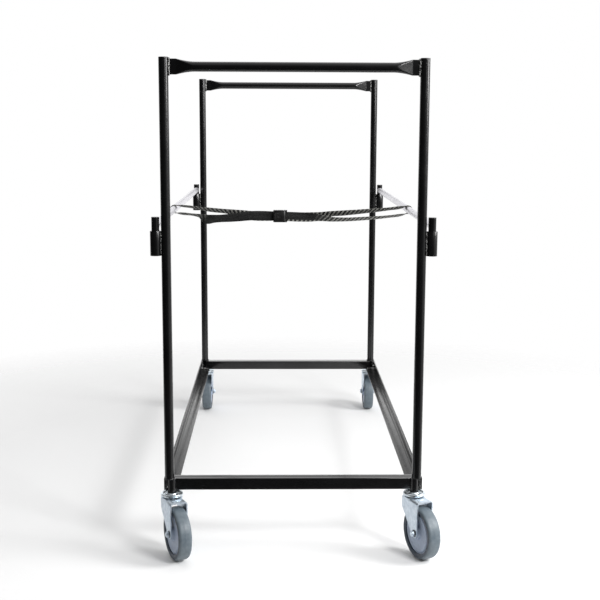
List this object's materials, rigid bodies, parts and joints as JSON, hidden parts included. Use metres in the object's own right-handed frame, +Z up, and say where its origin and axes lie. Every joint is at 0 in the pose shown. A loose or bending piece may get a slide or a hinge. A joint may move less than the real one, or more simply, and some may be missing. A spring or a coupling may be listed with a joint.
{
  "type": "background support system",
  "caption": "Wheeled tube frame for carrying studio backgrounds, with swivel casters, lift-out side rails and a cam-buckle strap.",
  "frame": {"origin": "on the floor under the middle of the frame", "axes": "+Z up, +X to the right, +Y to the back, away from the end whose casters are turned"},
  "size_m": [0.663, 1.4945, 1.15],
  "materials": {
    "powder_black": "semi-gloss black powder coat",
    "bright_zinc": "bright zinc plate",
    "satin_aluminium": "satin mill finish",
    "grey_tyre": "grey non-marking rubber, satin",
    "grey_core": "grey-blue moulded polypropylene, satin",
    "black_plastic": "black moulded plastic, satin",
    "strap_webbing": "woven black webbing with white tracer threads",
    "bearing_steel": "polished steel balls"
  },
  "bodies": {
    "frame": {"post_front_left": "powder_black", "rail_socket_front_left": "powder_black", "caster_head_front_left": "bright_zinc", "post_front_right": "powder_black", "rail_socket_front_right": "powder_black", "caster_head_front_right": "bright_zinc", "post_rear_left": "powder_black", "rail_socket_rear_left": "powder_black", "caster_head_rear_left": "bright_zinc", "post_rear_right": "powder_black", "rail_socket_rear_right": "powder_black", "caster_head_rear_right": "bright_zinc", "crossbar_front": "powder_black", "base_rail_front": "powder_black", "crossbar_rear": "powder_black", "base_rail_rear": "powder_black", "side_angle_left": "powder_black", "side_angle_right": "powder_black", "post_caps": "black_plastic", "caster_bosses": "powder_black", "strap_middle": "strap_webbing", "buckle_frame": "black_plastic", "buckle_pin": "bearing_steel"},
    "rail_left": {"rail_pin_front_left": "powder_black", "rail_pin_rear_left": "powder_black", "rail_tube_left": "satin_aluminium", "rail_rivets_left": "satin_aluminium", "strap_loop_left": "strap_webbing"},
    "rail_right": {"rail_pin_front_right": "powder_black", "rail_pin_rear_right": "powder_black", "rail_tube_right": "satin_aluminium", "rail_rivets_right": "satin_aluminium", "strap_loop_right": "strap_webbing"},
    "buckle_lever": {"buckle_lever": "black_plastic"},
    "caster_swivel_front_left": {"caster_fork_front_left": "bright_zinc", "swivel_balls_front_left": "bearing_steel", "axle_front_left": "bright_zinc", "axle_sleeve_front_left": "bright_zinc"},
    "wheel_front_left": {"wheel_core_front_left": "grey_core", "tyre_front_left": "grey_tyre"},
    "caster_swivel_front_right": {"caster_fork_front_right": "bright_zinc", "swivel_balls_front_right": "bearing_steel", "axle_front_right": "bright_zinc", "axle_sleeve_front_right": "bright_zinc"},
    "wheel_front_right": {"wheel_core_front_right": "grey_core", "tyre_front_right": "grey_tyre"},
    "caster_swivel_rear_left": {"caster_fork_rear_left": "bright_zinc", "swivel_balls_rear_left": "bearing_steel", "axle_rear_left": "bright_zinc", "axle_sleeve_rear_left": "bright_zinc"},
    "wheel_rear_left": {"wheel_core_rear_left": "grey_core", "tyre_rear_left": "grey_tyre"},
    "caster_swivel_rear_right": {"caster_fork_rear_right": "bright_zinc", "swivel_balls_rear_right": "bearing_steel", "axle_rear_right": "bright_zinc", "axle_sleeve_rear_right": "bright_zinc"},
    "wheel_rear_right": {"wheel_core_rear_right": "grey_core", "tyre_rear_right": "grey_tyre"}
  },
  "joints": [
    {"name": "rail_left_lift", "type": "slide", "parent": "frame", "child": "rail_left", "axis": [0, 0, 1], "range_m": [0, 0.08]},
    {"name": "rail_right_lift", "type": "slide", "parent": "frame", "child": "rail_right", "axis": [0, 0, 1], "range_m": [0, 0.08]},
    {"name": "buckle_lever_flip", "type": "hinge", "parent": "frame", "child": "buckle_lever", "pos_m": [-0.021, -0.192, 0.76], "axis": [0, 0, 1], "range_deg": [0, 100]},
    {"name": "caster_swivel_front_left", "type": "hinge", "parent": "frame", "child": "caster_swivel_front_left", "pos_m": [-0.285, -0.65, 0.146], "axis": [0, 0, 1], "continuous": true},
    {"name": "wheel_spin_front_left", "type": "hinge", "parent": "caster_swivel_front_left", "child": "wheel_front_left", "pos_m": [-0.26985, -0.68485, 0.0625], "axis": [0.9171, 0.3987, 0], "continuous": true},
    {"name": "caster_swivel_front_right", "type": "hinge", "parent": "frame", "child": "caster_swivel_front_right", "pos_m": [0.285, -0.65, 0.146], "axis": [0, 0, 1], "continuous": true},
    {"name": "wheel_spin_front_right", "type": "hinge", "parent": "caster_swivel_front_right", "child": "wheel_front_right", "pos_m": [0.30015, -0.68485, 0.0625], "axis": [0.9171, 0.3987, 0], "continuous": true},
    {"name": "caster_swivel_rear_left", "type": "hinge", "parent": "frame", "child": "caster_swivel_rear_left", "pos_m": [-0.285, 0.65, 0.146], "axis": [0, 0, 1], "continuous": true},
    {"name": "wheel_spin_rear_left", "type": "hinge", "parent": "caster_swivel_rear_left", "child": "wheel_rear_left", "pos_m": [-0.285, 0.688, 0.0625], "axis": [-1, 0, 0], "continuous": true},
    {"name": "caster_swivel_rear_right", "type": "hinge", "parent": "frame", "child": "caster_swivel_rear_right", "pos_m": [0.285, 0.65, 0.146], "axis": [0, 0, 1], "continuous": true},
    {"name": "wheel_spin_rear_right", "type": "hinge", "parent": "caster_swivel_rear_right", "child": "wheel_rear_right", "pos_m": [0.285, 0.688, 0.0625], "axis": [-1, 0, 0], "continuous": true}
  ]
}
